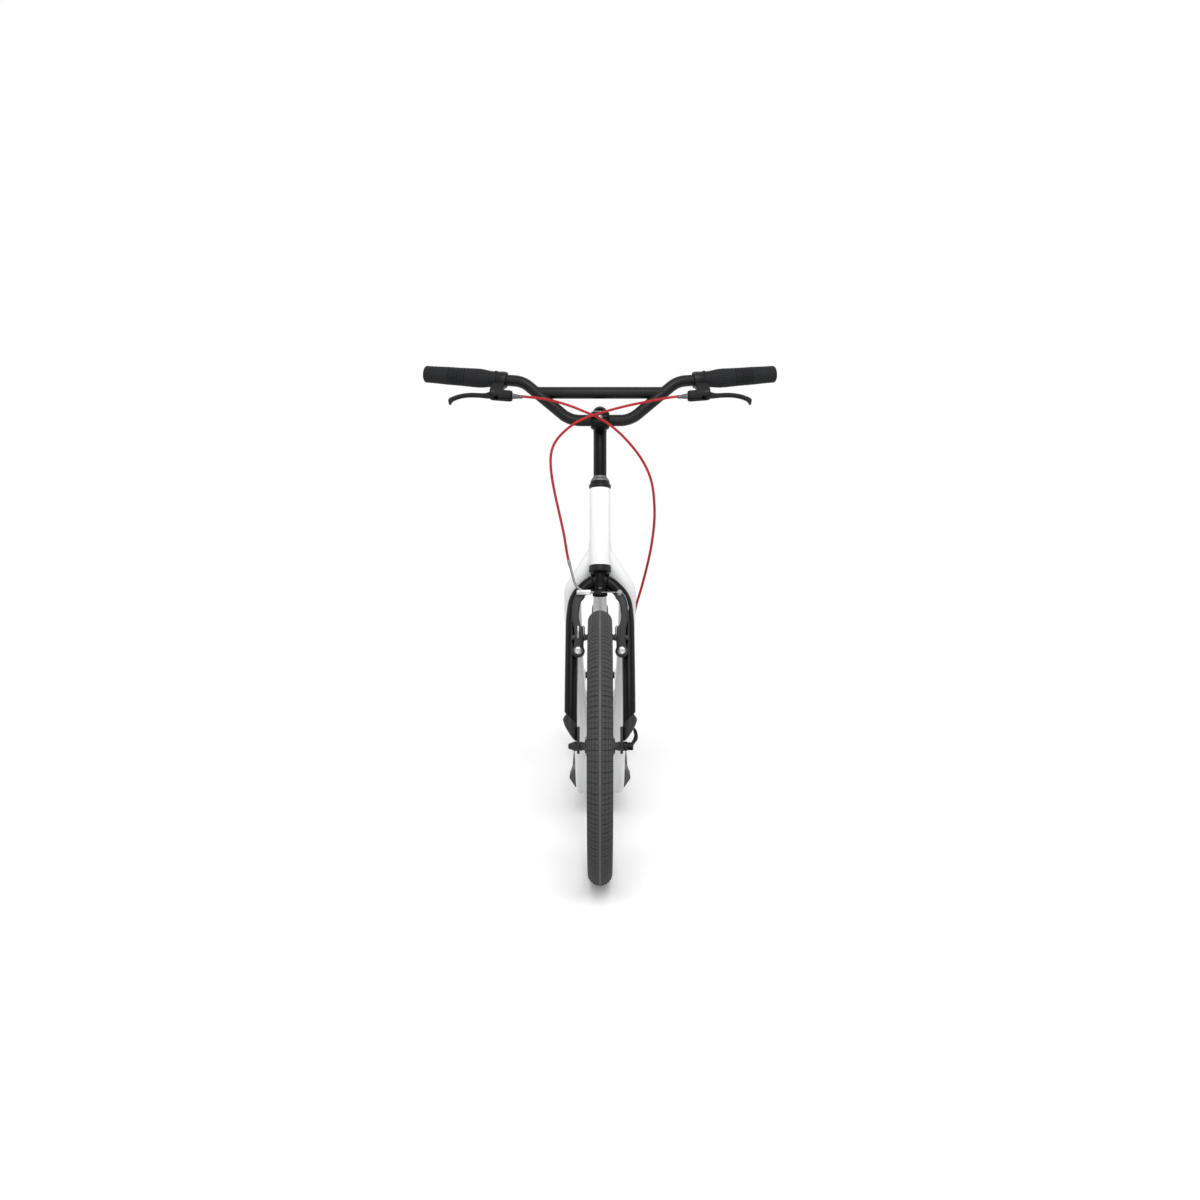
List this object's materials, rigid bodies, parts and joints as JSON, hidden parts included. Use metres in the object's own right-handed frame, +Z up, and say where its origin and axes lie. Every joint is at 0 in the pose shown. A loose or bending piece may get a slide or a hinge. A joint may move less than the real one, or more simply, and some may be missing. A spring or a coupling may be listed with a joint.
{
  "type": "kick bike",
  "caption": "Adult kick bike: a low footboard on a twin-tube frame between a large front and a smaller rear spoked wheel, raked fork, cross-braced handlebar and rim brakes.",
  "frame": {"origin": "on the ground, midway along the bike's length and width", "axes": "+Z up, -Y forward along the rolling direction, +X to the rider's left"},
  "size_m": [0.696, 1.502, 0.9624],
  "materials": {
    "white_paint": "glossy white powder coat",
    "black_paint": "glossy black paint",
    "black_rim": "black anodised, satin",
    "grey_alloy": "dark anodised, satin",
    "bright_steel": "zinc plated, bright",
    "hub_alloy": "satin",
    "tyre_rubber": "matte, fine tread",
    "black_rubber": "matte",
    "board_plastic": "grained, ribbed top",
    "cable_red": "glossy jacket"
  },
  "bodies": {
    "frame": {"head_tube": "white_paint", "side_tube_left": "white_paint", "side_tube_right": "white_paint", "down_tube": "white_paint", "rear_bridge": "white_paint", "footboard": "board_plastic", "corner_bumper_left": "board_plastic", "corner_bumper_right": "board_plastic", "upper_headset_cup": "black_paint", "lower_headset_cup": "black_paint", "upper_bearing": "bright_steel", "lower_bearing": "bright_steel", "rear_axle": "bright_steel", "rear_axle_nut_left": "bright_steel", "rear_axle_nut_right": "bright_steel", "rear_brake_cable_on_frame": "cable_red", "rear_brake_cable_tail": "cable_red"},
    "fork": {"fork_steerer": "black_paint", "fork_blade_left": "black_paint", "fork_blade_right": "black_paint", "fork_tip_left": "grey_alloy", "fork_tip_right": "grey_alloy", "headset_locknut": "grey_alloy", "stem": "black_paint", "stem_clamp_bolt": "bright_steel", "expander_bolt_and_wedge": "bright_steel", "handlebar": "black_paint", "grip_left": "black_rubber", "grip_right": "black_rubber", "brake_lever_bracket_left": "black_paint", "brake_lever_bracket_right": "black_paint", "barrel_adjuster_left": "bright_steel", "barrel_adjuster_right": "bright_steel", "front_brake_cable": "cable_red", "rear_brake_cable_free": "cable_red", "front_axle": "bright_steel", "quick_release_skewer": "bright_steel"},
    "front_wheel": {"front_tyre": "tyre_rubber", "front_inner_tube": "black_rubber", "front_rim": "black_rim", "front_hub_and_spokes": "hub_alloy"},
    "rear_wheel": {"rear_tyre": "tyre_rubber", "rear_inner_tube": "black_rubber", "rear_rim": "black_rim", "rear_hub_and_spokes": "hub_alloy"},
    "left_lever": {"brake_lever_left": "black_paint"},
    "right_lever": {"brake_lever_right": "black_paint"},
    "front_arm_left": {"front_brake_arm_left": "grey_alloy", "front_brake_pad_left": "black_rubber", "front_brake_link_cable": "bright_steel"},
    "front_arm_right": {"front_brake_arm_right": "grey_alloy", "front_brake_pad_right": "black_rubber", "front_brake_noodle": "bright_steel"},
    "rear_arm_right": {"rear_brake_arm_right": "grey_alloy", "rear_brake_pad_right": "black_rubber", "rear_brake_link_cable": "bright_steel"},
    "rear_arm_left": {"rear_brake_arm_left": "grey_alloy", "rear_brake_pad_left": "black_rubber", "rear_brake_noodle": "bright_steel"},
    "release_lever": {"quick_release_lever": "grey_alloy"}
  },
  "joints": [
    {"name": "steering", "type": "hinge", "parent": "frame", "child": "fork", "pos_m": [0, -0.46241, 0.24175], "axis": [0, 0.2696, 0.963], "range_deg": [-50, 50], "deforming": ["rear_brake_cable_free"]},
    {"name": "front_wheel_spin", "type": "hinge", "parent": "fork", "child": "front_wheel", "pos_m": [0, -0.499, 0.252], "axis": [1, 0, 0], "continuous": true},
    {"name": "rear_wheel_spin", "type": "hinge", "parent": "frame", "child": "rear_wheel", "pos_m": [0, 0.551, 0.2], "axis": [1, 0, 0], "continuous": true},
    {"name": "left_lever_pull", "type": "hinge", "parent": "fork", "child": "left_lever", "pos_m": [0.20571, -0.32698, 0.90351], "axis": [0.0431, -0.6502, 0.7586], "range_deg": [0, 25]},
    {"name": "right_lever_pull", "type": "hinge", "parent": "fork", "child": "right_lever", "pos_m": [-0.20571, -0.32698, 0.90351], "axis": [0.0431, 0.6502, -0.7586], "range_deg": [0, 25]},
    {"name": "front_arm_left_swing", "type": "hinge", "parent": "fork", "child": "front_arm_left", "pos_m": [0.0405, -0.45128, 0.42245], "axis": [0, -0.963, 0.2696], "range_deg": [0, 3.9], "deforming": ["front_brake_link_cable"]},
    {"name": "front_arm_right_swing", "type": "hinge", "parent": "fork", "child": "front_arm_right", "pos_m": [-0.0405, -0.45128, 0.42245], "axis": [0, 0.963, -0.2696], "range_deg": [0, 3.9], "deforming": ["front_brake_cable"]},
    {"name": "rear_arm_right_swing", "type": "hinge", "parent": "frame", "child": "rear_arm_right", "pos_m": [-0.0405, 0.43371, 0.15261], "axis": [0, -0.3746, 0.9272], "range_deg": [0, 3.9], "deforming": ["rear_brake_link_cable"]},
    {"name": "rear_arm_left_swing", "type": "hinge", "parent": "frame", "child": "rear_arm_left", "pos_m": [0.0405, 0.43371, 0.15261], "axis": [0, 0.3746, -0.9272], "range_deg": [0, 3.9], "deforming": ["rear_brake_cable_tail"]},
    {"name": "release_lever_throw", "type": "hinge", "parent": "fork", "child": "release_lever", "pos_m": [0.0569, -0.499, 0.252], "axis": [0, 0.5352, -0.8447], "range_deg": [0, 170]}
  ],
  "couplings": [
    {"joint": "front_arm_left_swing", "follows": "left_lever_pull", "ratio": 0.152},
    {"joint": "front_arm_right_swing", "follows": "left_lever_pull", "ratio": 0.152},
    {"joint": "rear_arm_left_swing", "follows": "right_lever_pull", "ratio": 0.152},
    {"joint": "rear_arm_right_swing", "follows": "right_lever_pull", "ratio": 0.152}
  ]
}
